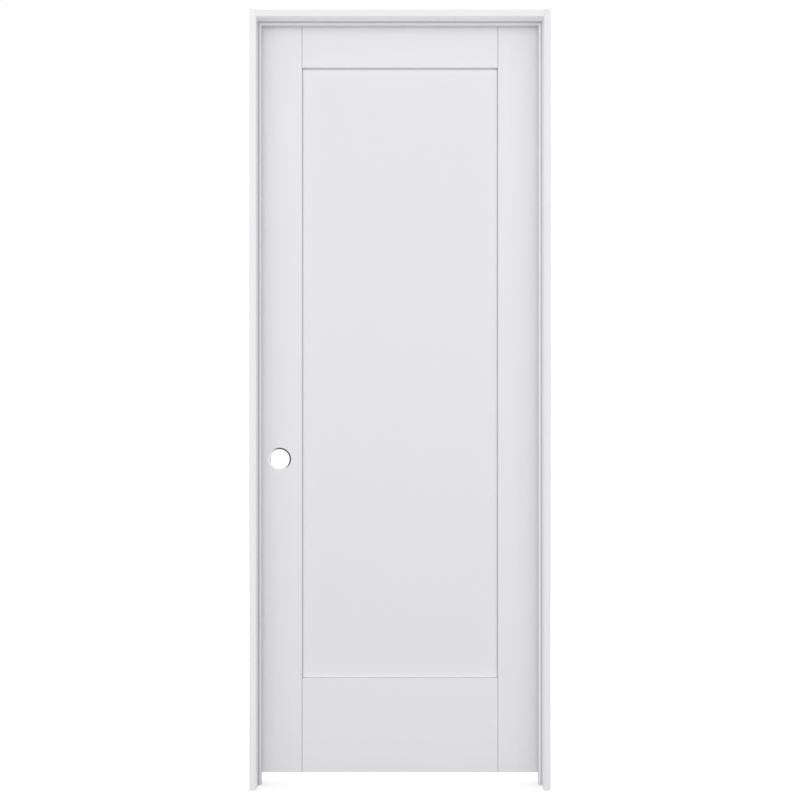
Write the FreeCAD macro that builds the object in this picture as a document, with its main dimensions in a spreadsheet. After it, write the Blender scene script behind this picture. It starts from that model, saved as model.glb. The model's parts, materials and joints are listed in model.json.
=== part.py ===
"""Prehung interior door: a one-panel stile-and-rail leaf hung in a flat jamb with applied stops.

Millimetres, +Z up. The origin is on the back face of the hinge jamb, at its foot and at the middle
of its depth. The leaf hinges at +X and swings away towards +Y; the stops are on the -Y side.
"""
import FreeCAD, Part
import Sketcher

import math
import os
import re

# Driving sizes, one value for each size that can be set by itself
SIZES = {
    # Leaf
    "door_width": 756.8,
    "door_height": 2026.0,
    "door_thick": 34.93,
    "stile_width": 112.7,
    "top_rail_width": 115.0,
    "bottom_rail_width": 255.0,
    "panel_thick": 12.7,
    "tongue_length": 9.5,
    "groove_spare": 0.5,
    "groove_play": 0.1,
    "arris": 0.8,
    "joint_arris": 1.5,
    "lock_bevel": 3.0,
    # Lock preparation
    "bore_diameter": 54.0,
    "bore_rim": 4.0,
    "bore_backset": 51.8,
    "bore_height": 879.0,
    "latch_diameter": 25.4,
    "faceplate_height": 57.15,
    "faceplate_width": 25.4,
    "faceplate_depth": 3.0,
    "plate_corner": 6.35,
    # Gaps round the closed leaf
    "hinge_gap": 5.0,
    "strike_gap": 5.0,
    "head_gap": 5.0,
    "stop_gap": 5.0,
    "floor_gap": 29.5,
    # Frame
    "jamb_thick": 17.46,
    "jamb_depth": 115.9,
    "jamb_arris": 1.2,
    "leg_lug": 1.6,
    "stop_width": 19.05,
    "stop_thick": 9.53,
    "stop_round": 1.6,
    "stop_arris": 0.8,
    "strike_height": 57.15,
    "strike_width": 29.0,
    "strike_depth": 1.6,
    "strike_bore": 22.2,
    # Butt hinges
    "leaf_height": 88.9,
    "leaf_width": 44.45,
    "leaf_thick": 2.2,
    "leaf_corner": 15.9,
    "leaf_backset": 6.35,
    "pin_diameter": 6.35,
    "pin_play": 0.05,
    "pin_head_width": 9.6,
    "pin_head_height": 3.2,
    "pin_tip_length": 2.4,
    "knuckle_play": 0.3,
    "screw_hole": 4.8,
    "screw_sink": 9.0,
    "sink_angle": 82.0,
    "screw_pitch": 31.0,
    "near_screw": 27.5,
    "far_screw": 36.0,
    "top_hinge_drop": 178.0,
    "bottom_hinge_rise": 279.0,
}

# Places and lengths that follow from the sizes
OPENING_WIDTH = "(hinge_gap + door_width + strike_gap)"
HEAD_HEIGHT = "(floor_gap + door_height + head_gap)"
LEG_HEIGHT = f"({HEAD_HEIGHT} + jamb_thick + leg_lug)"
STRIKE_FACE = f"(-jamb_thick - {OPENING_WIDTH})"
STOP_BACK = "(jamb_depth / 2 - door_thick - stop_gap)"
STOP_FRONT = f"({STOP_BACK} - stop_width)"
HINGE_EDGE = "(-jamb_thick - hinge_gap)"
LOCK_EDGE = f"({HINGE_EDGE} - door_width)"
RAIL_LENGTH = "(door_width - 2 * stile_width)"
GROOVE_DEPTH = "(tongue_length + groove_spare)"
GROOVE_WIDTH = "(panel_thick + 2 * groove_play)"
BEVEL_RUN = "(door_thick * tan(lock_bevel * 1 deg))"
BORE_ON_STILE = "(bore_height - floor_gap)"

# Each hinge turns about a line outside the far face, midway across the gap at the hinge edge
AXIS_X = "(-jamb_thick - hinge_gap / 2)"
AXIS_THROW = "(leaf_width + leaf_backset - door_thick)"
KNUCKLE_COUNT = 5
KNUCKLE_PITCH = f"(leaf_height / {KNUCKLE_COUNT})"
KNUCKLE_BORE = "(pin_diameter / 2 + pin_play)"
KNUCKLE_RADIUS = f"({KNUCKLE_BORE} + leaf_thick)"
TOP_HINGE = "(floor_gap + door_height - top_hinge_drop - leaf_height / 2)"
BOTTOM_HINGE = "(floor_gap + bottom_hinge_rise + leaf_height / 2)"
HINGES = {
    "top": TOP_HINGE,
    "middle": f"(({TOP_HINGE} + {BOTTOM_HINGE}) / 2)",
    "bottom": BOTTOM_HINGE,
}

doc = FreeCAD.newDocument("PrehungDoor")
sheet = doc.addObject("Spreadsheet::Sheet", "Sizes")


def fill_sheet():
    """Writes each driving size into a cell of its own, with its name as the alias."""
    for row, (alias, size) in enumerate(SIZES.items(), start=1):
        sheet.set(f"A{row}", alias)
        sheet.set(f"B{row}", str(size))
        sheet.setAlias(f"B{row}", alias)
    doc.recompute()


def in_sheet(formula):
    """The formula with each size's name pointed at its cell."""
    return re.sub(r"\b[a-z]+(?:_[a-z]+)+\b|\barris\b", lambda word: f"Sizes.{word.group()}", str(formula))


def value(formula):
    """The number that a formula gives now, for a sketch's first outline."""
    return float(sheet.evalExpression(in_sheet(formula)))


class Piece:
    """One sub-part: a body with its own sketches and features, placed by formulas."""

    all = []

    def __init__(self, name, x, y, z):
        self.body = doc.addObject("PartDesign::Body", name)
        self.body.Label = name
        for axis, formula in zip("xyz", (x, y, z)):
            self.body.setExpression(f"Placement.Base.{axis}", in_sheet(formula))
        Piece.all.append(self)

    def plane(self, role):
        return next(item for item in self.body.Origin.OriginFeatures if item.Role == role)

    def sketch(self, name, role, lift=None):
        """A sketch on one of the body's own planes, lifted along that plane's normal."""
        sketch = self.body.newObject("Sketcher::SketchObject", f"{self.body.Name}_{name}")
        sketch.AttachmentSupport = (self.plane(role), [""])
        sketch.MapMode = "FlatFace"
        if lift is not None:
            sketch.setExpression("AttachmentOffset.Base.z", in_sheet(lift))
        return sketch

    def feature(self, kind, name):
        return self.body.newObject(f"PartDesign::{kind}", f"{self.body.Name}_{name}")

    def pad(self, name, sketch, length):
        pad = self.feature("Pad", name)
        pad.Profile = sketch
        pad.setExpression("Length", in_sheet(length))
        doc.recompute()
        return pad

    def pocket(self, name, sketch, depth=None, along_normal=False):
        """A cut to a depth, or right through; it has to take something off the piece."""
        before = self.body.Shape.Volume
        pocket = self.feature("Pocket", name)
        pocket.Profile = sketch
        pocket.Reversed = along_normal
        if depth is None:
            pocket.Type = "ThroughAll"
        else:
            pocket.setExpression("Length", in_sheet(depth))
        doc.recompute()
        if not self.body.Shape.Volume < before:
            raise RuntimeError(f"{pocket.Name} cuts nothing")
        return pocket

    def countersinks(self, name, sketch, along_normal):
        """Countersunk screw holes right through, at the sketch's circles."""
        before = self.body.Shape.Volume
        hole = self.feature("Hole", name)
        hole.Profile = sketch
        doc.recompute()
        hole.Reversed = along_normal
        hole.DepthType = "ThroughAll"
        hole.HoleCutType = "Countersink"
        hole.HoleCutCustomValues = True
        for setting, formula in (("Diameter", "screw_hole"), ("HoleCutDiameter", "screw_sink"),
                                 ("HoleCutCountersinkAngle", "sink_angle")):
            hole.setExpression(setting, in_sheet(formula))
        doc.recompute()
        if not self.body.Shape.Volume < before:
            raise RuntimeError(f"{hole.Name} cuts nothing")

    def chamfer(self, name, size, chosen):
        """Bevels the edges of the piece so far that the test chooses."""
        base = self.body.Tip
        edges = [f"Edge{i}" for i, edge in enumerate(base.Shape.Edges, start=1) if chosen(edge)]
        chamfer = self.feature("Chamfer", name)
        chamfer.Base = (base, edges)
        chamfer.setExpression("Size", in_sheet(size))
        doc.recompute()
        return chamfer


def outline(sketch, corners):
    """A closed outline through corners (x, y) or, rounded, (x, y, radius), all of them formulas.

    It runs anticlockwise, as a sketch's arcs do, and only its outward corners are rounded.
    """
    points = [FreeCAD.Vector(value(corner[0]), value(corner[1]), 0) for corner in corners]
    if sum(points[i - 1].cross(points[i]).z for i in range(len(points))) < 0:
        corners = corners[::-1]
        points.reverse()
    count = len(corners)
    starts = list(points)
    ends = list(points)
    for i, corner in enumerate(corners):
        if len(corner) == 3:
            back = (points[i - 1] - points[i]).normalize()
            ahead = (points[(i + 1) % count] - points[i]).normalize()
            reach = value(corner[2]) / math.tan(back.getAngle(ahead) / 2)
            ends[i] = points[i] + back * reach
            starts[i] = points[i] + ahead * reach
    lines = []
    for i in range(count):
        lines.append(sketch.addGeometry(Part.LineSegment(starts[i], ends[(i + 1) % count])))
    for i, corner in enumerate(corners):
        before, after = lines[i - 1], lines[i]
        if len(corner) == 2:
            sketch.addConstraint(Sketcher.Constraint("Coincident", before, 2, after, 1))
            pin_point(sketch, after, 1, corner)
        else:
            round_corner(sketch, before, after, points[i], ends[i], starts[i], corner)


def pin_point(sketch, geometry, end, corner):
    """Ties a point's two coordinates to their formulas."""
    for kind, formula in zip(("DistanceX", "DistanceY"), corner[:2]):
        number = sketch.addConstraint(Sketcher.Constraint(kind, geometry, end, value(formula)))
        sketch.setExpression(f"Constraints[{number}]", in_sheet(formula))


def round_corner(sketch, before, after, corner_point, arc_start, arc_end, corner):
    """An arc of a set radius between two lines, whose crossing stays at the corner."""
    radius = value(corner[2])
    chord_middle = (arc_start + arc_end) / 2
    inward = (chord_middle - corner_point).normalize()
    half_chord = (arc_end - arc_start).Length / 2
    centre = chord_middle + inward * math.sqrt(max(radius ** 2 - half_chord ** 2, 0))
    arc = sketch.addGeometry(Part.Arc(arc_start, centre - inward * radius, arc_end))
    sketch.addConstraint(Sketcher.Constraint("Tangent", before, 2, arc, 1))
    sketch.addConstraint(Sketcher.Constraint("Tangent", arc, 2, after, 1))
    number = sketch.addConstraint(Sketcher.Constraint("Radius", arc, radius))
    sketch.setExpression(f"Constraints[{number}]", in_sheet(corner[2]))
    point = sketch.addGeometry(Part.Point(corner_point), True)
    sketch.addConstraint(Sketcher.Constraint("PointOnObject", point, 1, before))
    sketch.addConstraint(Sketcher.Constraint("PointOnObject", point, 1, after))
    pin_point(sketch, point, 1, corner)


def rectangle(sketch, left, bottom, right, top):
    outline(sketch, [(left, bottom), (right, bottom), (right, top), (left, top)])


def circle(sketch, x, y, radius):
    """A round outline about a centre given by formulas."""
    centre = FreeCAD.Vector(value(x), value(y), 0)
    ring = sketch.addGeometry(Part.Circle(centre, FreeCAD.Vector(0, 0, 1), value(radius)))
    pin_point(sketch, ring, 3, (x, y))
    number = sketch.addConstraint(Sketcher.Constraint("Radius", ring, value(radius)))
    sketch.setExpression(f"Constraints[{number}]", in_sheet(radius))


def leaf_outline(sketch, far, near, middle):
    """A hinge leaf's outline across Y: square at the barrel, round at the two far corners."""
    low = f"{middle} - leaf_height / 2"
    high = f"{middle} + leaf_height / 2"
    outline(sketch, [(near, low), (near, high), (far, high, "leaf_corner"), (far, low, "leaf_corner")])


def leg(name, x, side):
    """An upright jamb; side is 1 where its back is towards +X, and its opening face is at x = 0."""
    piece = Piece(name, x, "0", "0")
    section = piece.sketch("section", "XY_Plane")
    back = f"{side} * jamb_thick"
    eased = f"{side} * jamb_arris"
    half = "jamb_depth / 2"
    outline(section, [
        (eased, f"-{half}"), (back, f"-{half}"), (back, half),
        (eased, half), ("0", f"{half} - jamb_arris"), ("0", f"-{half} + jamb_arris"),
    ])
    piece.pad("board", section, LEG_HEIGHT)
    return piece


def hinge_jamb():
    """The right-hand leg, with a mortise for each hinge leaf in its far edge."""
    piece = leg("hinge_jamb", "-jamb_thick", 1)
    for place, height in HINGES.items():
        mortise = piece.sketch(f"{place}_mortise", "YZ_Plane")
        leaf_outline(mortise, f"jamb_depth / 2 + {AXIS_THROW} - leaf_width", "jamb_depth", height)
        piece.pocket(f"{place}_recess", mortise, "leaf_thick", along_normal=True)


def strike_jamb():
    """The left-hand leg, with the strike's mortise and the hole for the latch bolt."""
    piece = leg("strike_jamb", STRIKE_FACE, -1)
    middle = "(jamb_depth / 2 - door_thick / 2)"
    mortise = piece.sketch("strike_mortise", "YZ_Plane")
    far = "jamb_depth / 2 - strike_width"
    low = "bore_height - strike_height / 2"
    high = "bore_height + strike_height / 2"
    outline(mortise, [("jamb_depth", low), ("jamb_depth", high),
                      (far, high, "plate_corner"), (far, low, "plate_corner")])
    piece.pocket("strike_recess", mortise, "strike_depth")
    hole = piece.sketch("bolt_circle", "YZ_Plane")
    circle(hole, middle, "bore_height", "strike_bore / 2")
    piece.pocket("bolt_hole", hole)


def head_jamb():
    """The head, cut square between the legs a little below their tops."""
    piece = Piece("head_jamb", STRIKE_FACE, "0", HEAD_HEIGHT)
    section = piece.sketch("section", "YZ_Plane")
    half = "jamb_depth / 2"
    outline(section, [
        (f"-{half} + jamb_arris", "0"), (f"{half} - jamb_arris", "0"), (half, "jamb_arris"),
        (half, "jamb_thick"), (f"-{half}", "jamb_thick"), (f"-{half}", "jamb_arris"),
    ])
    piece.pad("board", section, OPENING_WIDTH)


def side_stop(name, x, side):
    """A stop on one leg, round at its front corner and mitred at the head."""
    piece = Piece(name, x, STOP_FRONT, "0")
    section = piece.sketch("section", "XY_Plane")
    reach = f"{side} * stop_thick"
    eased = f"{side} * (stop_thick - stop_arris)"
    outline(section, [
        ("0", "0"), (reach, "0", "stop_round"), (reach, "stop_width - stop_arris"),
        (eased, "stop_width"), ("0", "stop_width"),
    ])
    piece.pad("strip", section, HEAD_HEIGHT)
    mitre = piece.sketch("mitre_line", "XZ_Plane")
    outline(mitre, [("0", HEAD_HEIGHT), (reach, f"{HEAD_HEIGHT} - stop_thick"), (reach, HEAD_HEIGHT)])
    piece.pocket("mitre", mitre)


def head_stop():
    """The stop under the head, mitred to the side stops."""
    piece = Piece("head_stop", STRIKE_FACE, STOP_FRONT, HEAD_HEIGHT)
    section = piece.sketch("section", "YZ_Plane")
    outline(section, [
        ("0", "0"), ("0", "-stop_thick", "stop_round"), ("stop_width - stop_arris", "-stop_thick"),
        ("stop_width", "stop_arris - stop_thick"), ("stop_width", "0"),
    ])
    piece.pad("strip", section, OPENING_WIDTH)
    for end, corner, step in (("left", "0", "+"), ("right", OPENING_WIDTH, "-")):
        mitre = piece.sketch(f"{end}_mitre_line", "XZ_Plane")
        outline(mitre, [(corner, "0"), (f"{corner} {step} stop_thick", "-stop_thick"),
                        (corner, "-stop_thick")])
        piece.pocket(f"{end}_mitre", mitre)


def stile(name, x, side, edge_run):
    """A stile with its groove; side is 1 where the leaf's middle is towards +X of its edge."""
    piece = Piece(name, x, "jamb_depth / 2", "floor_gap")
    section = piece.sketch("section", "XY_Plane")
    inner = f"{side} * stile_width"
    eased = f"{side} * (stile_width - joint_arris)"
    floor = f"{side} * (stile_width - {GROOVE_DEPTH})"
    near = f"-(door_thick + {GROOVE_WIDTH}) / 2"
    far = f"-(door_thick - {GROOVE_WIDTH}) / 2"
    outline(section, [
        ("0", "-arris"), (f"{edge_run}", "arris - door_thick"),
        (f"{edge_run} + {side} * arris", "-door_thick"), (eased, "-door_thick"),
        (inner, "joint_arris - door_thick"), (inner, near), (floor, near), (floor, far), (inner, far),
        (inner, "-joint_arris"), (eased, "0"), (f"{side} * arris", "0"),
    ])
    piece.pad("board", section, "door_height")
    return piece


def lock_stile():
    """The left-hand stile, bevelled at its edge and bored for a lockset and its latch."""
    piece = stile("lock_stile", LOCK_EDGE, 1, BEVEL_RUN)
    face = piece.sketch("bore_circle", "XZ_Plane")
    circle(face, "bore_backset", BORE_ON_STILE, "bore_diameter / 2")
    piece.pocket("bore", face, along_normal=True)
    radius = value("bore_diameter") / 2
    piece.chamfer("bore_rims", "bore_rim", lambda edge: is_circle(edge, radius))
    plate = piece.sketch("faceplate_outline", "YZ_Plane")
    middle = "-door_thick / 2"
    across = "faceplate_width / 2"
    up = "faceplate_height / 2"
    outline(plate, [
        (f"{middle} - {across}", f"{BORE_ON_STILE} - {up}", "plate_corner"),
        (f"{middle} + {across}", f"{BORE_ON_STILE} - {up}", "plate_corner"),
        (f"{middle} + {across}", f"{BORE_ON_STILE} + {up}", "plate_corner"),
        (f"{middle} - {across}", f"{BORE_ON_STILE} + {up}", "plate_corner"),
    ])
    piece.pocket("faceplate_recess", plate, f"faceplate_depth + {BEVEL_RUN} / 2", along_normal=True)
    latch = piece.sketch("latch_circle", "YZ_Plane")
    circle(latch, middle, BORE_ON_STILE, "latch_diameter / 2")
    piece.pocket("latch_bore", latch, "bore_backset", along_normal=True)


def hinge_stile():
    """The right-hand stile, with a mortise for each hinge leaf."""
    piece = stile("hinge_stile", HINGE_EDGE, -1, "0")
    for place, height in HINGES.items():
        mortise = piece.sketch(f"{place}_mortise", "YZ_Plane")
        leaf_outline(mortise, f"{AXIS_THROW} - leaf_width", "door_thick", f"{height} - floor_gap")
        piece.pocket(f"{place}_recess", mortise, "leaf_thick")


def rail(name, z, width, groove_side):
    """A rail with stub tongues; groove_side is 1 where the panel is above it, -1 below."""
    piece = Piece(name, f"{LOCK_EDGE} + stile_width", "jamb_depth / 2", z)
    if groove_side > 0:
        edge, eased, floor, outer = width, f"{width} - joint_arris", f"{width} - {GROOVE_DEPTH}", "0"
    else:
        edge, eased, floor, outer = "0", "joint_arris", GROOVE_DEPTH, width
    near = f"-(door_thick + {GROOVE_WIDTH}) / 2"
    far = f"-(door_thick - {GROOVE_WIDTH}) / 2"
    section = piece.sketch("section", "YZ_Plane")
    outline(section, [
        ("-door_thick", outer), ("0", outer), ("0", eased), ("-joint_arris", edge), (far, edge),
        (far, floor), (near, floor), (near, edge), ("joint_arris - door_thick", edge),
        ("-door_thick", eased),
    ])
    piece.pad("board", section, RAIL_LENGTH)
    tongue = piece.sketch("tongue_outline", "XZ_Plane", "(door_thick - panel_thick) / 2")
    rectangle(tongue, "-tongue_length", floor, f"{RAIL_LENGTH} + tongue_length", outer)
    piece.pad("tongue", tongue, "panel_thick")
    ends = (0.0, value(RAIL_LENGTH))
    faces = (0.0, -value("door_thick"))
    piece.chamfer("end_joints", "joint_arris", lambda edge: is_upright_at(edge, ends, faces))


def panel():
    """The flat panel, let into the grooves on all four sides."""
    height = "(door_height - top_rail_width - bottom_rail_width)"
    piece = Piece("panel", f"{LOCK_EDGE} + stile_width", "jamb_depth / 2", "floor_gap + bottom_rail_width")
    face = piece.sketch("face", "XZ_Plane", "(door_thick - panel_thick) / 2")
    rectangle(face, "-tongue_length", "-tongue_length",
              f"{RAIL_LENGTH} + tongue_length", f"{height} + tongue_length")
    piece.pad("sheet", face, "panel_thick")


def hinge_leaf(name, height, side, first_knuckle, knuckles):
    """A leaf with its knuckles; side is 1 on the jamb and -1 on the stile."""
    piece = Piece(name, AXIS_X, f"jamb_depth / 2 + {AXIS_THROW}", height)
    inner = "hinge_gap / 2" if side > 0 else "-hinge_gap / 2 - leaf_thick"
    plate = piece.sketch("plate_outline", "YZ_Plane", inner)
    leaf_outline(plate, "-leaf_width", f"-{KNUCKLE_RADIUS} - knuckle_play", "0")
    piece.pad("plate", plate, "leaf_thick")
    low = f"{first_knuckle} * {KNUCKLE_PITCH} - leaf_height / 2 + knuckle_play / 2"
    length = f"{KNUCKLE_PITCH} - knuckle_play"
    web = piece.sketch("web_section", "XY_Plane", low)
    rectangle(web, inner, f"-{KNUCKLE_RADIUS} - knuckle_play - leaf_thick", f"{inner} + leaf_thick", "0")
    web_pad = piece.pad("web", web, length)
    roll = piece.sketch("roll_circle", "XY_Plane", low)
    circle(roll, "0", "0", KNUCKLE_RADIUS)
    roll_pad = piece.pad("roll", roll, length)
    row = piece.feature("LinearPattern", "knuckles")
    row.Originals = [web_pad, roll_pad]
    row.Direction = (roll, ["N_Axis"])
    row.setExpression("Length", in_sheet(f"{2 * (knuckles - 1)} * {KNUCKLE_PITCH}"))
    row.Occurrences = knuckles
    piece.body.Tip = row
    doc.recompute()
    bore = piece.sketch("pin_circle", "XY_Plane", "-leaf_height")
    circle(bore, "0", "0", KNUCKLE_BORE)
    piece.pocket("pin_bore", bore, along_normal=True)
    screws = piece.sketch("screw_circles", "YZ_Plane", f"{side} * hinge_gap / 2")
    for along, up in (("near_screw", "screw_pitch"), ("far_screw", "0"), ("near_screw", "-screw_pitch")):
        circle(screws, f"-{along}", up, "screw_hole / 2")
    piece.countersinks("screw_holes", screws, along_normal=side > 0)


def hinge_pin(name, height):
    """A loose pin: its head stands on the top knuckle, and its tip ends below the last one."""
    piece = Piece(name, AXIS_X, f"jamb_depth / 2 + {AXIS_THROW}", height)
    seat = "(leaf_height / 2 - knuckle_play / 2)"
    top = f"{seat} + pin_head_height"
    tip = f"-{seat} - pin_tip_length"
    shank = "pin_diameter / 2"
    head = "pin_head_width / 2"
    half = piece.sketch("half_section", "XZ_Plane")
    outline(half, [("0", tip), (shank, tip), (shank, seat), (head, seat), (head, top), ("0", top)])
    turned = piece.feature("Revolution", "turned")
    turned.Profile = half
    turned.ReferenceAxis = (half, ["V_Axis"])
    turned.Angle = 360
    doc.recompute()


def is_circle(edge, radius):
    return isinstance(edge.Curve, Part.Circle) and math.isclose(edge.Curve.Radius, radius)


def is_upright_at(edge, x_places, y_places):
    """Whether an edge runs straight up at one of these places."""
    box = edge.BoundBox
    if box.XLength > 1e-6 or box.YLength > 1e-6:
        return False
    at_x = any(math.isclose(box.XMin, x, abs_tol=1e-6) for x in x_places)
    at_y = any(math.isclose(box.YMin, y, abs_tol=1e-6) for y in y_places)
    return at_x and at_y


def check_document():
    """Stops if an object has failed or a piece has no sound solid."""
    for item in doc.Objects:
        if "Invalid" in item.State or "Error" in item.State:
            raise RuntimeError(f"{item.Name} failed: {item.State}")
    for piece in Piece.all:
        shape = piece.body.Shape
        if shape.isNull() or not shape.isValid() or len(shape.Solids) != 1:
            raise RuntimeError(f"{piece.body.Label} is not one sound solid")


def main():
    fill_sheet()
    hinge_jamb()
    strike_jamb()
    head_jamb()
    side_stop("hinge_stop", "-jamb_thick", -1)
    side_stop("strike_stop", STRIKE_FACE, 1)
    head_stop()
    lock_stile()
    hinge_stile()
    rail("top_rail", "floor_gap + door_height - top_rail_width", "top_rail_width", -1)
    rail("bottom_rail", "floor_gap", "bottom_rail_width", 1)
    panel()
    for place, height in HINGES.items():
        hinge_leaf(f"{place}_frame_leaf", height, 1, 0, 3)
        hinge_leaf(f"{place}_door_leaf", height, -1, 1, 2)
        hinge_pin(f"{place}_hinge_pin", height)
    doc.recompute()
    check_document()
    os.makedirs("parts", exist_ok=True)
    for piece in Piece.all:
        piece.body.Shape.exportStep(f"parts/{piece.body.Label}.step")
        box = piece.body.Shape.BoundBox
        print(f"{piece.body.Label:18} {piece.body.Shape.Volume / 1000:9.1f} cm3",
              f"x {box.XMin:8.2f} {box.XMax:8.2f}  y {box.YMin:7.2f} {box.YMax:7.2f}",
              f" z {box.ZMin:8.2f} {box.ZMax:8.2f}")


main()
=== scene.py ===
"""Finishes for a prehung interior door: primed boards, satin nickel butt hinges and their screws.

Metres, +Z up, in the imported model's own frame: the hinge jamb's back is at x = 0 and its foot at
z = 0, the stops face -Y and the leaf swings towards +Y.
"""

import json
import math

import bmesh
import bpy
from bpy.props import FloatProperty, FloatVectorProperty, PointerProperty
from mathutils import Matrix, Vector


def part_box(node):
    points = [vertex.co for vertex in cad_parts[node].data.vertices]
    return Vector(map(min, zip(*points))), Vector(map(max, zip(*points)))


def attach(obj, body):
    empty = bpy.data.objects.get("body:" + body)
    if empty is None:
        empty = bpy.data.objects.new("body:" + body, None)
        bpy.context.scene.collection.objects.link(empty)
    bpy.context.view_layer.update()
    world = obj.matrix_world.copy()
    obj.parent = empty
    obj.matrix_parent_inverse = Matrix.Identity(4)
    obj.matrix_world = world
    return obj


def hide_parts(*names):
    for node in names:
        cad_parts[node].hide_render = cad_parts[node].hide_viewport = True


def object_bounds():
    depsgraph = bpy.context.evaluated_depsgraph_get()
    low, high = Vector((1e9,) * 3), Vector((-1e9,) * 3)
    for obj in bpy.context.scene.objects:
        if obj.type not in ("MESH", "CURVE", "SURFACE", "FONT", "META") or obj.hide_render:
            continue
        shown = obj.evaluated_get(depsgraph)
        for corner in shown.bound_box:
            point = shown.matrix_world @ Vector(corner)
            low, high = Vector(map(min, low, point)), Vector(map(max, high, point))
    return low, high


bl_info = {
    "name": "Prehung Interior Door",
    "version": (1, 0, 0),
    "blender": (4, 5, 0),
    "location": "View3D > Sidebar > Door",
    "description": "Dresses a one-panel prehung door: primer, hinges, screws and a pale studio",
    "category": "Object",
}

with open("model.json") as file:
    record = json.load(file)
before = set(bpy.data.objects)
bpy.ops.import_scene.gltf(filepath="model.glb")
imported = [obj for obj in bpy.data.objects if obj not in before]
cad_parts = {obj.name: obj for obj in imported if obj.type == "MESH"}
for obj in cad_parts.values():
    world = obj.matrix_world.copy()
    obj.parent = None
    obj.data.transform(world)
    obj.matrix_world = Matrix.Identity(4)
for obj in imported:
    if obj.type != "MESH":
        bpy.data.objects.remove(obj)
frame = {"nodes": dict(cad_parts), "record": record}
CAD_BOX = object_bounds()

MM = 0.001
PLACES = ("top", "middle", "bottom")
AXES = "xyz"
WELD = 0.001 * MM  # points nearer than this are one
NEAR = 0.01 * MM  # places nearer than this are the same
CREASE = math.radians(32)  # edges sharper than this stay sharp
SQUARE_ON = 0.9  # a face looks along an axis above this


def low(node, axis):
    """The lowest coordinate of a node along an axis."""
    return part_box(node)[0][AXES.index(axis)]


def high(node, axis):
    """The highest coordinate of a node along an axis."""
    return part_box(node)[1][AXES.index(axis)]


def mount(name):
    """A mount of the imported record, by name."""
    return next(item for item in frame["record"]["mounts"] if item["name"] == name)


# Edges that the eye follows: the panel's opening, and where the stops meet the frame
SIGHT_LEFT = high("lock_stile", "x")
SIGHT_RIGHT = low("hinge_stile", "x")
SIGHT_TOP = low("top_rail", "z")
SIGHT_BOTTOM = high("bottom_rail", "z")
STRIKE_FACE = low("head_jamb", "x")
HINGE_FACE = high("head_jamb", "x")
HEAD_FACE = low("head_jamb", "z")
STOP_FRONT = low("head_stop", "y")
STOP_REACH = low("hinge_stop", "x") - HINGE_FACE

# Each jamb: the axis its grain runs along, the axis and sign of its back, its tone, painted lighter
# or darker for how the light falls on it, how much painted light its opening face gets, and how
# deep its painted shade along the stop is, as a share of the most
JAMBS = {
    "hinge_jamb": ("z", ("x", 1), -0.046, 0.165, 0.75),
    "strike_jamb": ("z", ("x", -1), 0.004, 0.017, 0.97),
    "head_jamb": ("x", ("z", 1), -0.024, 0.108, 0.7),
}
# Each stop: the axis its grain runs along, its tone, painted lighter or darker for how the light
# falls on it, the plane of its jamb, the plane of its inner side, and how deep the painted shade at
# each of the two is, as a share of the most
STOPS = {
    "hinge_stop": ("z", 0.123, ("x", HINGE_FACE), ("x", HINGE_FACE + STOP_REACH), 0.85, 1.2),
    "strike_stop": ("z", -0.053, ("x", STRIKE_FACE), ("x", STRIKE_FACE - STOP_REACH), 0.82, 0.75),
    "head_stop": ("x", -0.045, ("z", HEAD_FACE), ("z", HEAD_FACE + STOP_REACH), 0.78, 0.5),
}
# A stop's painted shade is deepest up to one distance from its jamb, and gone beyond the other
SEAT_FULL = 3.2 * MM
SEAT_REACH = 6.0 * MM

# Each board of the leaf: the axis its grain runs along, and the joints where painted shade darkens
# its primer
LEAF_BOARDS = {
    "lock_stile": ("z", (("x", SIGHT_LEFT),)),
    "hinge_stile": ("z", (("x", SIGHT_RIGHT),)),
    "top_rail": ("x", (("x", SIGHT_LEFT), ("x", SIGHT_RIGHT), ("z", SIGHT_TOP))),
    "bottom_rail": ("x", (("x", SIGHT_LEFT), ("x", SIGHT_RIGHT))),
}
# Beside the panel a stile gets painted shade only on its eased edge, which is this wide, and on the
# recess's wall
ARRIS_REACH = 1.2 * MM

PANEL_TONE = -0.021
PANEL_SIDES = (("x", SIGHT_LEFT), ("x", SIGHT_RIGHT))
PANEL_ENDS = (("z", SIGHT_TOP), ("z", SIGHT_BOTTOM))
# Painted light: where the panel is lightened near its recess's sides, how far, and the distance in
# which that fades
PANEL_PAINTED_LIGHT = (
    (PANEL_SIDES + PANEL_ENDS, 0.245, 4.0 * MM),
    (PANEL_SIDES + PANEL_ENDS, 0.045, 25.0 * MM),
    (PANEL_ENDS, 0.04, 12.0 * MM),
)
# Painted shade: where it is darkened right beside them, how far, and the distance in which that
# ends
PANEL_PAINTED_SHADE = (
    (PANEL_SIDES, 0.46, 4.6 * MM),
    (PANEL_ENDS[:1], 0.36, 7.5 * MM),
    (PANEL_ENDS[1:], 0.45, 2.4 * MM),
)

# The painted shadow on the lock bore's rim, a dark arc that stands in for its wall in shade: its
# direction from +X, where it starts and is full as a cosine from there, and the rim's width and
# depth
ARC_TILT = math.radians(36)
ARC_START = -0.35
ARC_FULL = 0.65
RIM_WIDTH = 3.99 * MM
RIM_DEPTH = 4.5 * MM

# A turned pin: its shank's width as a share of the head's, how far its head sinks into the top
# knuckle, the rounding under the head, and the facets round it
PIN_SHANK = 0.6615
PIN_SINK = 0.15 * MM
PIN_UNDERCUT = 0.35 * MM
PIN_FACETS = 40

# A screw: its lip's height, its recess's depth and arm, how the recess narrows, its facets, and
# how far its head lies below the hinge leaf's face
LIP = 0.12 * MM
RECESS_DEPTH = 1.7 * MM
RECESS_ARM = 0.27
RECESS_TAPER = 0.42
SCREW_FACETS = 32
SCREW_SINK = 0.06 * MM
# The screws of a hinge leaf, in mm from its near edge and from its middle height
SCREW_SPOTS = ((16.95, 31.0), (8.45, 0.0), (16.95, -31.0))

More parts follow.
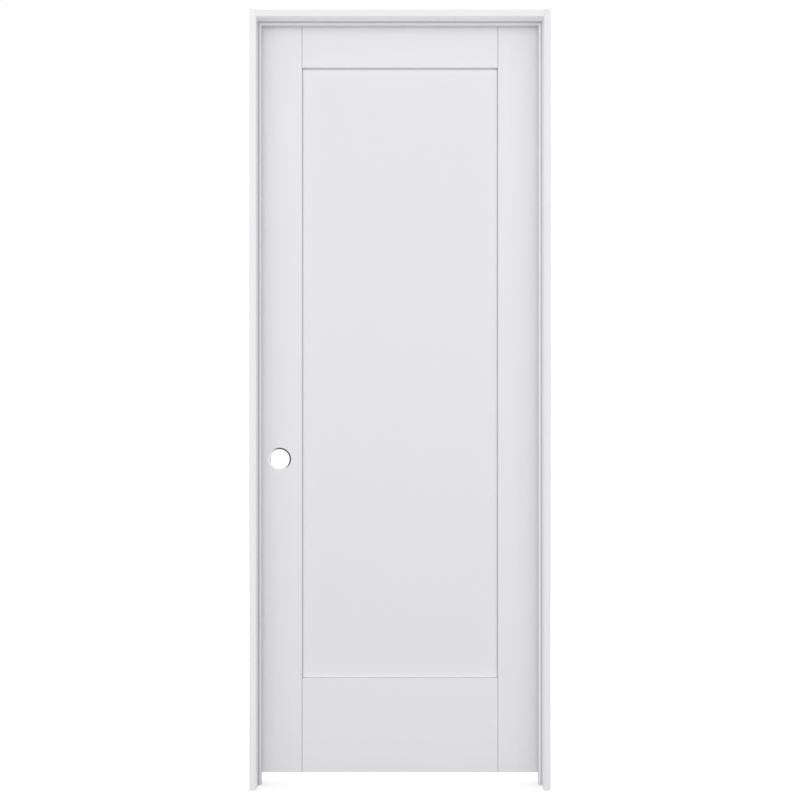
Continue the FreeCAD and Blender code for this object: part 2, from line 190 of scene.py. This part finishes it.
# Each lamp: its size across and up, and its place and its target from the middle of the frame
KEY_LAMP = ((9.0, 3.0), (0.1, -4.2, 1.5), (0, 0, 3.2))
FILL_LAMP = ((2.4, 2.4), (0.9, 3.6, 2.0), (0, 0, 0))
FLOOR_REACH = 40.0
FLOOR_TONE = 0.88
FLOOR_GLOW = 0.31  # what the floor lacks of white, added for the camera alone


class PrimerSettings(bpy.types.PropertyGroup):
    """The factory primer on the boards, and the light and shade painted into it."""

    frame_colour: FloatVectorProperty(
        name="Frame primer", description="Colour of the primer on the jambs and stops",
        subtype="COLOR", size=3, min=0, max=1, default=(0.83, 0.83, 0.845))
    leaf_colour: FloatVectorProperty(
        name="Leaf primer", description="Colour of the primer on the leaf",
        subtype="COLOR", size=3, min=0, max=1, default=(0.787, 0.787, 0.802))
    # Painted shadow and painted light in the lock bore: the dark arc stands in for the bore's wall
    # in shade and the light colour for its lit wall; neither is the board's own colour
    painted_bore_shadow: FloatVectorProperty(
        name="Bore shade", description="Colour of the unprimed arc round the lock bore",
        subtype="COLOR", size=3, min=0, max=1, default=(0.02, 0.02, 0.021))
    painted_bore_light: FloatVectorProperty(
        name="Bore light", description="Colour of the fresh primer in the lock bore",
        subtype="COLOR", size=3, min=0, max=1, default=(0.93, 0.93, 0.94))
    pine: FloatVectorProperty(
        name="Bare pine", description="Colour of a sawn or chiselled face of the frame",
        subtype="COLOR", size=3, min=0, max=1, default=(0.60, 0.43, 0.25))
    fibreboard: FloatVectorProperty(
        name="Bare board", description="Colour of the leaf's board where it is bored",
        subtype="COLOR", size=3, min=0, max=1, default=(0.40, 0.27, 0.16))
    roughness: FloatProperty(
        name="Roughness", description="Roughness of the primer", min=0, max=1, default=0.5)
    stipple: FloatProperty(
        name="Stipple", description="Height of the roller's stipple", unit="LENGTH",
        default=0.00003)
    grain: FloatProperty(
        name="Grain", description="Height of the grain that shows through the primer",
        unit="LENGTH", default=0.00004)
    # Painted shade: these darken the primer in the leaf's joints and where a stop meets its jamb,
    # where shade falls
    painted_joint_shade: FloatProperty(
        name="Joint shade", description="How far the leaf's primer darkens in a joint",
        min=0, max=1, default=0.22)
    joint_reach: FloatProperty(
        name="Joint reach", description="How far from a leaf's joint the primer darkens",
        unit="LENGTH", default=0.0025)
    painted_stop_shade: FloatProperty(
        name="Stop shade", description="How far the primer darkens where a stop meets its jamb",
        min=0, max=1, default=0.40)
    stop_reach: FloatProperty(
        name="Stop reach", description="How far from a stop's joint the primer darkens",
        unit="LENGTH", default=0.0065)
    finger_pitch: FloatProperty(
        name="Finger joints", description="Distance between the frame's finger joints",
        unit="LENGTH", default=0.43)


class HingeSettings(bpy.types.PropertyGroup):
    """The hinges' plating, pins and screws."""

    colour: FloatVectorProperty(
        name="Plating", description="Colour of the satin plating", subtype="COLOR",
        size=3, min=0, max=1, default=(0.52, 0.50, 0.47))
    roughness: FloatProperty(
        name="Roughness", description="Roughness of the plating", min=0, max=1, default=0.34)
    head_dome: FloatProperty(
        name="Pin dome", description="Rounding of a pin's button head", unit="LENGTH",
        default=0.0014)
    tip_dome: FloatProperty(
        name="Pin tip", description="Rounding of a pin's lower end", unit="LENGTH", default=0.0011)
    screw_head: FloatProperty(
        name="Screw head", description="Width of a screw's head", unit="LENGTH", default=0.0086)
    screw_depth: FloatProperty(
        name="Screw depth", description="Depth of a screw's head", unit="LENGTH", default=0.0021)
    screw_neck: FloatProperty(
        name="Screw neck", description="Width under a screw's head", unit="LENGTH", default=0.0047)
    recess_width: FloatProperty(
        name="Recess", description="Width of the cross in a screw's head", unit="LENGTH",
        default=0.0046)


class StageSettings(bpy.types.PropertyGroup):
    """The camera, the lamps and the floor."""

    distance: FloatProperty(
        name="Distance", description="From the frame's near edge to the lens", unit="LENGTH",
        default=4.052)
    eye_height: FloatProperty(
        name="Eye height", description="Height of the lens over the floor", unit="LENGTH",
        default=1.0395)
    lens: FloatProperty(
        name="Lens", description="Focal length on a 36 mm sensor, in mm", default=68.53)
    sky: FloatProperty(
        name="Sky", description="Strength of the even light from all round", default=0.791)
    key: FloatProperty(
        name="Key", description="Power of the wide lamp by the camera, in watts", default=85.0)
    fill: FloatProperty(
        name="Fill", description="Power of the lamp behind the door, in watts", default=40.0)


class Value:
    """A shader socket that takes part in Python arithmetic by adding Math nodes."""

    def __init__(self, shader, socket):
        self.shader = shader
        self.socket = socket

    def math(self, operation, *others):
        return self.shader.math(operation, self, *others)

    def __add__(self, other):
        return self.math("ADD", other)

    __radd__ = __add__

    def __sub__(self, other):
        return self.math("SUBTRACT", other)

    def __rsub__(self, other):
        return self.shader.math("SUBTRACT", other, self)

    def __mul__(self, other):
        return self.math("MULTIPLY", other)

    __rmul__ = __mul__

    def __truediv__(self, other):
        return self.math("DIVIDE", other)

    def __pow__(self, other):
        return self.math("POWER", other)

    def __abs__(self):
        return self.math("ABSOLUTE")

    def __gt__(self, other):
        return self.math("GREATER_THAN", other)

    def __lt__(self, other):
        return self.math("LESS_THAN", other)

    def wave(self):
        """The sine."""
        return self.math("SINE")

    def part(self):
        """What is left over a whole number."""
        return self.math("FRACT")

    def rise(self, start, end):
        """Rises softly from 0 at start to 1 at end."""
        return self.shader.node(
            "ShaderNodeMapRange", {"interpolation_type": "SMOOTHSTEP"},
            {"Value": self, "From Min": start, "From Max": end})


class Nodes:
    """A node tree whose nodes are added by calls and by arithmetic on their outputs."""

    def __init__(self, tree, surface):
        self.tree = tree
        self.surface = tree.nodes[surface]

    def node(self, kind, settings=None, values=None, output=0):
        """Adds a node, sets it up, feeds its sockets, and gives one of its outputs."""
        node = self.tree.nodes.new(kind)
        for name, setting in (settings or {}).items():
            setattr(node, name, setting)
        for name, value in (values or {}).items():
            self.feed(node.inputs[name], value)
        return Value(self, node.outputs[output])

    def math(self, operation, *values):
        """A Math node on values and links."""
        return self.node("ShaderNodeMath", {"operation": operation}, dict(enumerate(values)))

    def feed(self, socket, value):
        """Links a socket to a value's own, or sets it to a plain number or colour."""
        if isinstance(value, Value):
            self.tree.links.new(value.socket, socket)
        else:
            socket.default_value = value

    def set(self, **values):
        """Feeds the surface's sockets, named with underscores for spaces."""
        for name, value in values.items():
            self.feed(self.surface.inputs[name.replace("_", " ").title()], value)

    def mix(self, share, first, second):
        """A colour between two colours, which are the node's sockets 6 and 7."""
        colours = {6: first, 7: second}
        for number, colour in colours.items():
            if not isinstance(colour, Value):
                colours[number] = (*colour[:3], 1.0)
        return self.node("ShaderNodeMix", {"data_type": "RGBA"}, {0: share, **colours}, output=2)

    def seen(self):
        """1 for what the camera sees, straight or in metal, and 0 for light that bounces."""
        share = self.node("ShaderNodeLightPath", output="Is Camera Ray")
        for ray in ("Is Glossy Ray", "Is Transmission Ray"):
            share = share.math("MAXIMUM", self.node("ShaderNodeLightPath", output=ray))
        return share


class Shader(Nodes):
    """A material that reads the place and the direction of the surface."""

    def __init__(self, name):
        self.material = bpy.data.materials.new(name)
        self.material.use_nodes = True
        super().__init__(self.material.node_tree, "Principled BSDF")
        self.place = self.node("ShaderNodeTexCoord", output="Object")
        self.x, self.y, self.z = self.split(self.place)

    def split(self, vector):
        """The three parts of a vector."""
        first = self.node("ShaderNodeSeparateXYZ", None, {0: vector})
        return [Value(self, output) for output in first.socket.node.outputs]

    def along(self, axis):
        """The place along an axis."""
        return (self.x, self.y, self.z)[AXES.index(axis)]

    def facing(self, axis):
        """How far a face looks along an axis, from -1 to 1."""
        return self.split(self.node("ShaderNodeTexCoord", output="Normal"))[AXES.index(axis)]

    def noise(self, scale, detail=2.0, shift=0.0):
        """Soft noise from about -1 to 1; scale is one number, or one for each axis."""
        if isinstance(scale, (int, float)):
            scale = (scale, scale, scale)
        place = self.node("ShaderNodeMapping", None, {
            "Vector": self.place, "Location": (shift, shift, shift), "Scale": scale})
        value = self.node("ShaderNodeTexNoise", None, {
            "Vector": place, "Scale": 1.0, "Detail": detail})
        return (value - 0.5) * 2.0

    def tint(self, colour, share):
        """A colour made lighter or darker by a share of itself."""
        plain = colour if isinstance(colour, Value) else tuple(colour[:3])
        return self.node("ShaderNodeVectorMath", {"operation": "SCALE"}, {
            "Vector": plain, "Scale": share + 1.0})

    def bump(self, height, unit):
        """Raises the surface by a height counted in units."""
        self.set(normal=self.node("ShaderNodeBump", None, {"Height": height, "Distance": unit}))


def toned(colour, tone):
    """A plain colour made lighter or darker by a share of itself."""
    return [value * (1 + tone) for value in colour]


def paint(piece, material):
    """Puts one material on all of a piece."""
    piece.data.materials.clear()
    piece.data.materials.append(material)


class PrimedBoard(Shader):
    """Rolled primer over a board, with what lies bare showing through, and painted light and shade.
    """

    # Scales count waves a metre, and tones are shares of the colour.
    # Broad clouds and the roller's fine stipple:
    CLOUD_SCALE, CLOUD_TONE, CLOUD_ROUGHNESS = 3.1, 0.009, 0.03
    STIPPLE_SCALE, STIPPLE_TONE, STIPPLE_ROUGHNESS = 620.0, 0.006, 0.05
    # Fine grain, and bands of it that are broader by a share of its scale:
    GRAIN_ACROSS, GRAIN_ALONG, GRAIN_TONE = 240.0, 3.0, 0.007
    BAND_SCALE, BAND_SHIFT, BAND_TONE = 0.2, 3.7, 0.012
    # Fingers a metre, their length, and how far each board's joints are shifted, in pitches:
    FINGERS, FINGER_LENGTH, FINGER_SHIFT = 150.0, 20.0 * MM, 0.37
    # A glue line fades between two distances; its height is in stipples:
    GLUE_FROM, GLUE_TO, GLUE_HEIGHT, GLUE_TONE = 0.4 * MM, 1.1 * MM, 1.6, -0.012
    # Sawn pine: its fuzz, the tree's heart in mm, and the rings' rate a mm and wobble:
    BARE_SCALE, BARE_TONE = 900.0, 0.07
    HEART_STEP, HEART_AWAY = 11.0, 140.0
    RING_RATE, RING_TONE = 1.9, 0.12
    WOBBLE_SCALE, WOBBLE = 40.0, 2.5

    def __init__(self, node, colour, along, seed):
        """Primer for a node; along is the axis of its grain, or None where it has none."""
        super().__init__(f"primer_{node}")
        self.node_name = node
        self.settings = bpy.context.scene.door_primer
        self.seed = seed
        cloud = self.noise(self.CLOUD_SCALE, shift=seed)
        stipple = self.noise(self.STIPPLE_SCALE, 3.0)
        tone = cloud * self.CLOUD_TONE + stipple * self.STIPPLE_TONE
        self.height = stipple
        if along is not None:
            tone = tone + self.add_grain(along)
        self.colour = self.tint(colour, tone)
        self.set(roughness=stipple * self.STIPPLE_ROUGHNESS + cloud * self.CLOUD_ROUGHNESS
                 + self.settings.roughness)

    def add_grain(self, along):
        """Streaks along the board, raised a little under the primer; gives their tone."""
        fine = [self.GRAIN_ACROSS] * 3
        fine[AXES.index(along)] = self.GRAIN_ALONG
        broad = [value * self.BAND_SCALE for value in fine]
        streaks = self.noise(fine, 4.0, self.seed)
        bands = self.noise(broad, 2.0, self.seed + self.BAND_SHIFT)
        self.height = self.height + streaks * (self.settings.grain / self.settings.stipple)
        return streaks * self.GRAIN_TONE + bands * self.BAND_TONE

    def finger_joints(self, along):
        """The zigzag glue lines of a board made up from short lengths, just raised."""
        pitch = self.settings.finger_pitch
        across = self.y + self.x
        zigzag = abs((across * self.FINGERS).part() - 0.5) * self.FINGER_LENGTH
        shift = self.seed * self.FINGER_SHIFT
        phase = ((self.along(along) + zigzag) / pitch + shift).part()
        line = 1 - abs(phase - 0.5).rise(self.GLUE_FROM / pitch, self.GLUE_TO / pitch)
        self.height = self.height + line * self.GLUE_HEIGHT
        self.colour = self.tint(self.colour, line * self.GLUE_TONE)

    def paint_shade_near(self, joints, depth, reach, keep=0.0, start=0.0):
        """Paints shade into the primer towards planes, from a reach to a start, but for a share to
        keep.
        """
        left = 1.0
        for axis, place in joints:
            distance = abs(self.along(axis) - place)
            left = (distance.rise(start, reach) * depth + (1 - depth)) * left
        self.colour = self.tint(self.colour, (left - 1.0) * (1.0 - keep))

    def paint_light_near(self, edges, lift, reach):
        """Paints light into the primer towards the sides of a recess, standing in for the light
        they throw back on it.
        """
        total = 0.0
        for axis, place in edges:
            total = (abs(self.along(axis) - place) * (-1 / reach)).math("EXPONENT") + total
        self.colour = self.tint(self.colour, total * lift)

    def bare(self, share, colour, rings):
        """Unprimed wood over a share of the surface."""
        grain = self.noise(self.BARE_SCALE, 3.0) * self.BARE_TONE + rings
        self.colour = self.mix(share, self.colour, self.tint(colour, grain))

    def bare_ends(self):
        """Sawn pine with growth rings where the board faces up or down."""
        x = self.x * (1 / MM) + self.HEART_STEP * self.seed
        y = self.y * (1 / MM) - self.HEART_AWAY
        wobble = self.noise(self.WOBBLE_SCALE) * self.WOBBLE
        rings = ((x * x + y * y) ** 0.5 * self.RING_RATE + wobble).wave() * self.RING_TONE
        self.bare(abs(self.facing("z")) > SQUARE_ON, self.settings.pine, rings)

    def inside(self, box):
        """1 within a box of (axis, from, to) limits, and 0 elsewhere."""
        share = 1.0
        for axis, start, end in box:
            share = (self.along(axis) > start) * (self.along(axis) < end) * share
        return share

    def finish(self):
        """Puts the primer on its node."""
        self.set(base_color=self.colour)
        self.bump(self.height, self.settings.stipple)
        paint(frame["nodes"][self.node_name], self.material)


def strike_cut(shader):
    """The bare pine of the strike's mortise and bolt hole."""
    skin, half_width, half_height = 0.4 * MM, 14.0 * MM, 29.0 * MM
    middle = Vector(mount("strike_bolt_hole")["pos_m"])
    share = shader.inside((
        ("x", low("strike_jamb", "x") - MM, STRIKE_FACE - skin),
        ("y", middle.y - half_width, high("strike_jamb", "y") - NEAR),
        ("z", middle.z - half_height, middle.z + half_height)))
    front = shader.facing("x") > -0.5
    fibres = shader.noise((200.0, 200.0, 4.0), 3.0) * 0.1
    shader.bare(share * front, shader.settings.pine, fibres)


def latch_cut(shader):
    """The bare board of the faceplate's recess and the latch bore."""
    skin, past_middle, half_width, half_height = 2.2 * MM, 6.0 * MM, 13.0 * MM, 28.8 * MM
    middle = Vector(mount("latch_bore")["pos_m"])
    share = shader.inside((
        ("x", low("lock_stile", "x") + skin, middle.x + past_middle),
        ("y", middle.y - half_width, middle.y + half_width),
        ("z", middle.z - half_height, middle.z + half_height)))
    fibres = shader.noise(1500.0) * 0.06
    shader.bare(share, shader.settings.fibreboard, fibres)


def paint_bore_light_and_shadow(shader):
    """Painted light on the lock bore's wall, with a dark arc of painted shadow on its rim at the
    stops' side.
    """
    bore = mount("lockset_bore")
    middle = Vector(bore["pos_m"])
    radius = bore["dims"]["r_mm"] * MM
    across = shader.x - middle.x
    up = shader.z - middle.z
    reach = (across * across + up * up) ** 0.5
    towards = (across * math.cos(ARC_TILT) + up * math.sin(ARC_TILT)) / reach
    off_face = abs(shader.facing("y")) < 0.98
    wall = (reach < radius + RIM_WIDTH) * off_face
    rim = shader.y < low("lock_stile", "y") + RIM_DEPTH
    arc = towards.rise(ARC_START, ARC_FULL) * rim
    # Painted light on the wall, painted shadow in the arc
    tone = shader.mix(arc, shader.settings.painted_bore_light, shader.settings.painted_bore_shadow)
    shader.colour = shader.mix(wall, shader.colour, tone)


class DOOR_OT_prime_frame(bpy.types.Operator):
    """Give the jambs and stops their primer, bare where they are sawn or cut, with painted light
    and shade
    """

    bl_idname = "door.prime_frame"
    bl_label = "Prime Frame"

    def execute(self, context):
        settings = context.scene.door_primer
        for seed, (node, finish) in enumerate(JAMBS.items(), start=1):
            along, back, tone, lift, share = finish
            # The tone is painted light or shade for how the light falls on this jamb
            jamb = PrimedBoard(node, toned(settings.frame_colour, tone), along, seed)
            outwards = jamb.facing(back[0]) * back[1]
            # Painted light: the opening face is made lighter
            jamb.colour = jamb.tint(jamb.colour, (outwards < -SQUARE_ON) * lift)
            on_back = outwards > 0.5
            above = jamb.z > HEAD_FACE + MM
            # Painted shade in the crease along the stop, kept off the back and above the head
            jamb.paint_shade_near([("y", STOP_FRONT)], settings.painted_stop_shade * share,
                              settings.stop_reach, on_back.math("MAXIMUM", above))
            jamb.finger_joints(along)
            if along == "z":
                jamb.bare_ends()
            if node == "strike_jamb":
                strike_cut(jamb)
            jamb.finish()
        for seed, (node, finish) in enumerate(STOPS.items(), start=4):
            along, tone, seat, side, seat_shade, side_shade = finish
            # The tone is painted light or shade for how the light falls on this stop
            stop = PrimedBoard(node, toned(settings.frame_colour, tone), along, seed)
            # Painted shade where the stop meets its jamb, and a painted shadow line along its inner
            # side
            stop.paint_shade_near([seat], settings.painted_stop_shade * seat_shade, SEAT_REACH, start=SEAT_FULL)
            stop.paint_shade_near([side], settings.painted_joint_shade * side_shade, settings.joint_reach)
            stop.finger_joints(along)
            if along == "z":
                stop.bare_ends()
            stop.finish()
        return {"FINISHED"}


class DOOR_OT_prime_leaf(bpy.types.Operator):
    """Give the stiles, rails and panel their primer, bare in the lock's holes, with painted light
    and shade
    """

    bl_idname = "door.prime_leaf"
    bl_label = "Prime Leaf"

    def execute(self, context):
        settings = context.scene.door_primer
        panel = PrimedBoard("panel", toned(settings.leaf_colour, PANEL_TONE), along=None, seed=10)
        # Painted light near the recess's sides
        for edges, lift, reach in PANEL_PAINTED_LIGHT:
            panel.paint_light_near(edges, lift, reach)
        # Painted shade right beside them
        for edges, depth, reach in PANEL_PAINTED_SHADE:
            panel.paint_shade_near(edges, depth, reach)
        panel.finish()
        for seed, (node, (along, joints)) in enumerate(LEAF_BOARDS.items(), start=11):
            board = PrimedBoard(node, settings.leaf_colour, along, seed)
            by_panel = (board.z > SIGHT_BOTTOM + MM) * (board.z < SIGHT_TOP - MM)
            # Painted shade in the joints, kept off along the panel's height and off faces that look
            # up
            board.paint_shade_near(joints, settings.painted_joint_shade, settings.joint_reach,
                               by_panel.math("MAXIMUM", board.facing("z") > SQUARE_ON))
            if along == "z":
                # Along the panel, painted shade on the stile's eased edge and the recess's wall
                # only
                board.paint_shade_near(joints, settings.painted_joint_shade, ARRIS_REACH, 1.0 - by_panel)
            if node == "lock_stile":
                latch_cut(board)
                paint_bore_light_and_shadow(board)
            board.finish()
        return {"FINISHED"}


def satin_nickel(name, brushing):
    """Satin nickel; brushing is how fine the strokes are across each axis, in waves a metre."""
    settings = bpy.context.scene.door_hinges
    shader = Shader(name)
    strokes = shader.noise(brushing, 3.0)
    cloud = shader.noise(60.0)
    tone = strokes * 0.05 + cloud * 0.04
    unevenness = strokes * 0.06 + cloud * 0.05
    shader.set(metallic=1.0, base_color=shader.tint(settings.colour, tone),
               roughness=unevenness + settings.roughness)
    shader.bump(strokes, 0.004 * MM)
    return shader.material


class DOOR_OT_plate_hinges(bpy.types.Operator):
    """Give the hinge leaves and their knuckles a brushed satin plating"""

    bl_idname = "door.plate_hinges"
    bl_label = "Plate Hinges"

    def execute(self, context):
        nickel = satin_nickel("nickel_leaves", brushing=(2600.0, 2600.0, 40.0))
        for place in PLACES:
            for side in ("frame", "door"):
                paint(frame["nodes"][f"{place}_{side}_leaf"], nickel)
        return {"FINISHED"}


def new_piece(name, shape, body=None):
    """A smooth-shaded mesh object at the origin, with its place in its mesh."""
    mesh = bpy.data.meshes.new(name)
    bmesh.ops.remove_doubles(shape, verts=shape.verts, dist=WELD)
    bmesh.ops.recalc_face_normals(shape, faces=shape.faces)
    for face in shape.faces:
        face.smooth = True
    shape.to_mesh(mesh)
    shape.free()
    mesh.set_sharp_from_angle(angle=CREASE)
    piece = bpy.data.objects.new(name, mesh)
    bpy.context.scene.collection.objects.link(piece)
    if body:
        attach(piece, body)
    return piece


def round_edges(shape, edges, width, steps):
    """Rounds edges over a width in a number of steps."""
    bmesh.ops.bevel(shape, geom=edges, offset=width, offset_type="OFFSET", affect="EDGES",
                    segments=steps, profile=0.5, material=-1, clamp_overlap=True)


def ring_at(shape, height, radius, axis):
    """The edges of a turned shape's ring at a height and a distance from its axis."""
    def on_ring(vert):
        reach = math.hypot(vert.co.x - axis.x, vert.co.y - axis.y)
        return abs(vert.co.z - height) < NEAR and abs(reach - radius) < NEAR
    return [edge for edge in shape.edges if all(on_ring(vert) for vert in edge.verts)]


def turned_pin(node, settings):
    """A pin with a domed button head, turned on the CAD pin's own axis and lengths."""
    bottom, top = (Vector(corner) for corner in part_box(node))
    leaf = node.replace("hinge_pin", "frame_leaf")
    axis = (bottom + top) / 2
    head = (top.x - bottom.x) / 2
    shank = head * PIN_SHANK
    seat = high(leaf, "z") - PIN_SINK
    profile = [(0, top.z), (head, top.z), (head, seat),
               (shank, seat), (shank, bottom.z), (0, bottom.z)]
    shape = bmesh.new()
    chain = [shape.verts.new((axis.x + radius, axis.y, height)) for radius, height in profile]
    edges = [shape.edges.new(pair) for pair in zip(chain, chain[1:])]
    bmesh.ops.spin(shape, geom=chain + edges, cent=(axis.x, axis.y, 0), axis=(0, 0, 1),
                   angle=math.tau, steps=PIN_FACETS, use_merge=True)
    bmesh.ops.remove_doubles(shape, verts=shape.verts, dist=WELD)
    round_edges(shape, ring_at(shape, top.z, head, axis), settings.head_dome, steps=6)
    round_edges(shape, ring_at(shape, seat, head, axis), PIN_UNDERCUT, steps=2)
    round_edges(shape, ring_at(shape, bottom.z, shank, axis), settings.tip_dome, steps=5)
    return shape


class DOOR_OT_turn_pins(bpy.types.Operator):
    """Turn the three loose pins with their domed button heads"""

    bl_idname = "door.turn_pins"
    bl_label = "Turn Pins"

    def execute(self, context):
        nickel = satin_nickel("nickel_pins", brushing=(400.0, 400.0, 3200.0))
        for place in PLACES:
            node = f"{place}_hinge_pin"
            pin = new_piece(f"{place}_turned_pin", turned_pin(node, context.scene.door_hinges),
                            "frame")
            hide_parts(node)
            paint(pin, nickel)
        return {"FINISHED"}


def loop_of(shape, points):
    """A closed loop of edges through points."""
    verts = [shape.verts.new(point) for point in points]
    return [shape.edges.new((verts[i - 1], vert)) for i, vert in enumerate(verts)]


def cross_points(width):
    """The twelve corners of a cross of a width, in order round it."""
    half = width / 2
    arm = half * RECESS_ARM
    corners = [Vector(corner) for corner in ((arm, arm, 0), (arm, half, 0), (-arm, half, 0))]
    points = []
    for quarter in range(4):
        turn = Matrix.Rotation(math.radians(90 * quarter), 3, "Z")
        points += [turn @ corner for corner in corners]
    return points


def draw_down(shape, edges, depth, scale):
    """Extrudes a loop of edges down, scales its end about the axis, and gives the end's edges."""
    made = bmesh.ops.extrude_edge_only(shape, edges=edges)["geom"]
    verts = [item for item in made if isinstance(item, bmesh.types.BMVert)]
    bmesh.ops.translate(shape, verts=verts, vec=(0, 0, -depth))
    bmesh.ops.scale(shape, verts=verts, vec=(scale, scale, 1.0))
    chosen = set(verts)
    return [item for item in made
            if isinstance(item, bmesh.types.BMEdge) and chosen.issuperset(item.verts)]


def flat_head_screw(settings):
    """A countersunk screw head with a cross recess, its face at z = 0 and its axis along Z."""
    shape = bmesh.new()
    radius = settings.screw_head / 2
    crown = radius - LIP
    bmesh.ops.create_circle(shape, cap_ends=False, radius=crown, segments=SCREW_FACETS)
    rim = list(shape.edges)
    cross = loop_of(shape, cross_points(settings.recess_width))
    bmesh.ops.triangle_fill(shape, use_beauty=True, edges=rim + cross)
    floor = draw_down(shape, cross, RECESS_DEPTH, RECESS_TAPER)
    bmesh.ops.triangle_fill(shape, use_beauty=True, edges=floor)
    shoulder = draw_down(shape, rim, LIP, radius / crown)
    neck = draw_down(shape, shoulder, settings.screw_depth - LIP,
                     settings.screw_neck / settings.screw_head)
    bmesh.ops.triangle_fill(shape, use_beauty=True, edges=neck)
    return shape


def set_screws(leaf, settings):
    """Three screws in a hinge leaf's countersinks, each with its recess turned its own way."""
    place, side = leaf.split("_")[:2]
    outward = -1 if side == "frame" else 1
    face = HINGE_FACE if side == "frame" else high("hinge_stile", "x")
    middle = (low(leaf, "z") + high(leaf, "z")) / 2
    near = low(leaf, "y")
    shape = bmesh.new()
    for number, (along, rise) in enumerate(SCREW_SPOTS):
        screw = flat_head_screw(settings)
        turned = math.radians(37 * number + 11 * len(leaf))
        spin = Matrix.Rotation(turned, 4, "Z")
        lay = Matrix.Rotation(math.radians(90 * outward), 4, "Y")
        spot = Vector((face - outward * SCREW_SINK, near + along * MM, middle + rise * MM))
        bmesh.ops.transform(screw, matrix=Matrix.Translation(spot) @ lay @ spin, verts=screw.verts)
        stock = bpy.data.meshes.new("screw_stock")
        screw.to_mesh(stock)
        screw.free()
        shape.from_mesh(stock)
        bpy.data.meshes.remove(stock)
    return shape


class DOOR_OT_drive_screws(bpy.types.Operator):
    """Drive three flat-head screws into each hinge leaf"""

    bl_idname = "door.drive_screws"
    bl_label = "Drive Screws"

    def execute(self, context):
        nickel = satin_nickel("nickel_screws", brushing=(900.0, 900.0, 900.0))
        for place in PLACES:
            for side in ("frame", "door"):
                shape = set_screws(f"{place}_{side}_leaf", context.scene.door_hinges)
                screws = new_piece(f"{place}_{side}_screws", shape, side)
                paint(screws, nickel)
        return {"FINISHED"}


def lay_floor(middle):
    """A wide pale floor that looks white to the camera and keeps the door's shadow."""
    shape = bmesh.new()
    bmesh.ops.create_grid(shape, x_segments=1, y_segments=1, size=FLOOR_REACH,
                          matrix=Matrix.Translation((middle.x, 0, 0)))
    floor = new_piece("floor", shape)
    shader = Shader("pale_floor")
    glow = shader.mix(shader.seen(), (0, 0, 0), (FLOOR_GLOW, FLOOR_GLOW, FLOOR_GLOW))
    shader.set(base_color=(FLOOR_TONE, FLOOR_TONE, FLOOR_TONE, 1.0), roughness=1.0,
               emission_color=glow, emission_strength=1.0)
    paint(floor, shader.material)


def light_sky(scene, strength):
    """Even light from all round, which the camera and mirrors see as white."""
    scene.world = bpy.data.worlds.new("studio")
    scene.world.use_nodes = True
    sky = Nodes(scene.world.node_tree, "Background")
    sky.set(color=(1.0, 1.0, 1.0, 1.0), strength=sky.seen() * (1 - strength) + strength)


def add_lamp(name, power, layout, middle):
    """A rectangular soft lamp that points at its target."""
    size, place, target = layout
    lamp = bpy.data.lights.new(name, "AREA")
    lamp.energy = power
    lamp.shape = "RECTANGLE"
    lamp.size, lamp.size_y = size
    holder = bpy.data.objects.new(name, lamp)
    holder.location = middle + Vector(place)
    towards = middle + Vector(target) - holder.location
    holder.rotation_euler = towards.to_track_quat("-Z", "Y").to_euler()
    bpy.context.scene.collection.objects.link(holder)


def set_camera(scene, settings, x, near_edge):
    """A level camera on the frame's centre line."""
    lens = bpy.data.cameras.new("camera")
    lens.sensor_width = 36.0
    lens.lens = settings.lens
    camera = bpy.data.objects.new("camera", lens)
    camera.location = (x, near_edge - settings.distance, settings.eye_height)
    camera.rotation_euler = (math.radians(90), 0, 0)
    scene.collection.objects.link(camera)
    scene.camera = camera


class DOOR_OT_set_stage(bpy.types.Operator):
    """Lay the floor and set the lamps, the sky and the camera"""

    bl_idname = "door.set_stage"
    bl_label = "Set Stage"

    def execute(self, context):
        settings = context.scene.door_stage
        bottom, top = (Vector(corner) for corner in CAD_BOX)
        middle = (bottom + top) / 2
        middle.y = 0
        lay_floor(middle)
        light_sky(context.scene, settings.sky)
        add_lamp("key_lamp", settings.key, KEY_LAMP, middle)
        add_lamp("fill_lamp", settings.fill, FILL_LAMP, middle)
        set_camera(context.scene, settings, middle.x, bottom.y)
        context.scene.view_settings.view_transform = "Standard"
        return {"FINISHED"}


OPERATORS = (
    DOOR_OT_prime_frame, DOOR_OT_prime_leaf, DOOR_OT_plate_hinges, DOOR_OT_turn_pins,
    DOOR_OT_drive_screws, DOOR_OT_set_stage,
)
GROUPS = {"door_primer": PrimerSettings, "door_hinges": HingeSettings, "door_stage": StageSettings}


class DOOR_PT_parts(bpy.types.Panel):
    """Lists the door's settings and makes its pieces"""

    bl_label = "Prehung Door"
    bl_idname = "DOOR_PT_parts"
    bl_space_type = "VIEW_3D"
    bl_region_type = "UI"
    bl_category = "Door"

    def draw(self, context):
        for name, group in GROUPS.items():
            box = self.layout.box()
            for key in group.__annotations__:
                box.prop(getattr(context.scene, name), key)
        for operator in OPERATORS:
            self.layout.operator(operator.bl_idname)


CLASSES = (*GROUPS.values(), *OPERATORS, DOOR_PT_parts)


def register():
    for item in CLASSES:
        bpy.utils.register_class(item)
    for name, group in GROUPS.items():
        setattr(bpy.types.Scene, name, PointerProperty(type=group))


def unregister():
    for name in GROUPS:
        delattr(bpy.types.Scene, name)
    for item in reversed(CLASSES):
        bpy.utils.unregister_class(item)


def main():
    register()
    bpy.ops.door.prime_frame()
    bpy.ops.door.prime_leaf()
    bpy.ops.door.plate_hinges()
    bpy.ops.door.turn_pins()
    bpy.ops.door.drive_screws()
    bpy.ops.door.set_stage()


if __name__ == "__main__":
    main()
